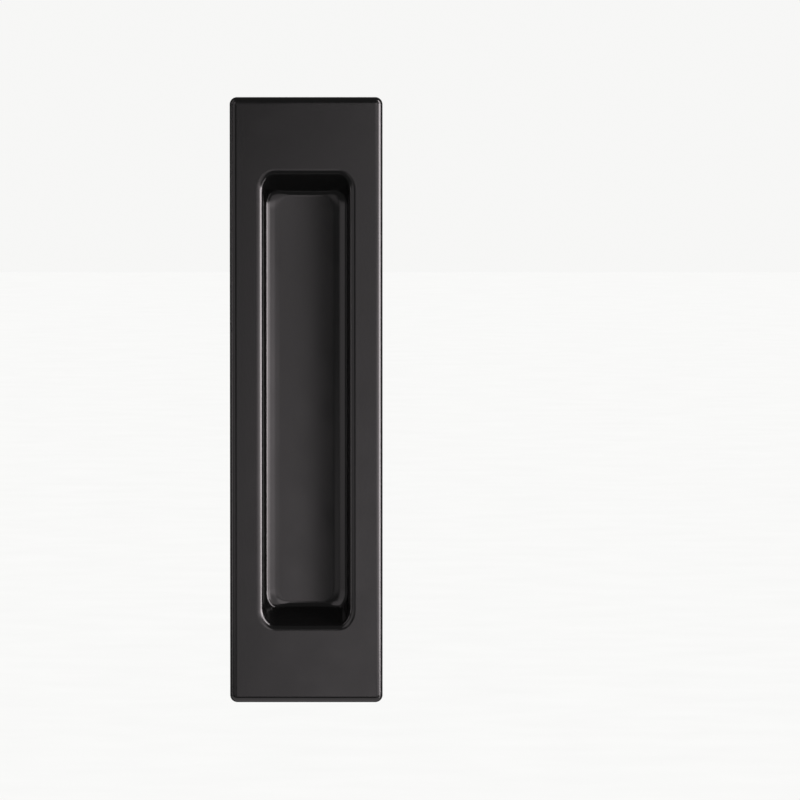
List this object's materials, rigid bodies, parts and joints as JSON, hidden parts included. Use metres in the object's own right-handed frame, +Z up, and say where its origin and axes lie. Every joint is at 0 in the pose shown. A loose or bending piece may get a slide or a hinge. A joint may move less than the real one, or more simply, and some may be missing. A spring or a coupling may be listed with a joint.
{
  "type": "sliding door handle",
  "caption": "Recessed pull for a sliding door: a slim rectangular faceplate with rolled edges round a long finger cup, cast in one piece and painted satin black.",
  "frame": {"origin": "middle of the faceplate's back, on the face of the door that the pull is let into", "axes": "+Z up along the pull's length, +Y into the door, so the show face looks along -Y, and +X across the pull, to the right as seen from the front"},
  "size_m": [0.0378, 0.0096, 0.15],
  "materials": {
    "satin_black_paint": "satin"
  },
  "bodies": {
    "root": {"flush_pull": "satin_black_paint"}
  },
  "joints": []
}
